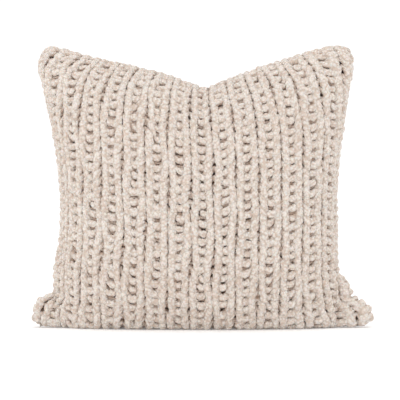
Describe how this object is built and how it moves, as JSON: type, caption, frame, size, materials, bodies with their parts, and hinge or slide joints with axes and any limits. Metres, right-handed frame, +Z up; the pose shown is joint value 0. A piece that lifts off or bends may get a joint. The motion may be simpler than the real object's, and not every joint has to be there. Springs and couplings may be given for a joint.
{
  "type": "throw pillow",
  "caption": "Square chunky rib-knit throw pillow, standing on its lower edge with a pressed-in top edge, a lined cover, a fibre-filled insert and a coil zipper in the lower seam.",
  "frame": {"origin": "on the floor, under the middle of the pillow's box", "axes": "+X across the width to the viewer's right, -Y out of the front face, +Z up through the pressed-in top edge"},
  "size_m": [0.488, 0.196, 0.4067],
  "materials": {
    "wool_yarn": "soft, matt, thick roving yarn in a pale oatmeal",
    "cotton_lining": "plain-woven natural cotton",
    "insert_case": "closely woven white ticking",
    "fibre_filling": "loose white fibre",
    "sewing_thread": "spun thread",
    "zip_tape": "woven herringbone tape",
    "zip_coil": "satin",
    "zip_metal": "satin nickel"
  },
  "bodies": {
    "cover": {"front_knit_panel": "wool_yarn", "back_knit_panel": "wool_yarn", "left_seam_yarn": "wool_yarn", "right_seam_yarn": "wool_yarn", "top_seam_yarn": "wool_yarn", "front_lining": "cotton_lining", "back_lining": "cotton_lining", "lining_seam_thread": "sewing_thread", "front_insert_case": "insert_case", "back_insert_case": "insert_case", "insert_seam_thread": "sewing_thread", "insert_filling": "fibre_filling", "front_zip_tape": "zip_tape", "back_zip_tape": "zip_tape", "front_zip_coil": "zip_coil", "back_zip_coil": "zip_coil", "zip_top_stops": "zip_metal", "zip_bottom_stop": "zip_metal", "zip_stitching": "sewing_thread"},
    "slider": {"zip_slider": "zip_metal"},
    "pull_tab": {"zip_pull": "zip_metal"}
  },
  "joints": [
    {"name": "zip_slide", "type": "slide", "parent": "cover", "child": "slider", "axis": [-1, 0, 0], "range_m": [0, 0.309]},
    {"name": "pull_hinge", "type": "hinge", "parent": "slider", "child": "pull_tab", "pos_m": [0.1545, 0, 0.0072], "axis": [0, -1, 0], "range_deg": [0, 160]}
  ]
}
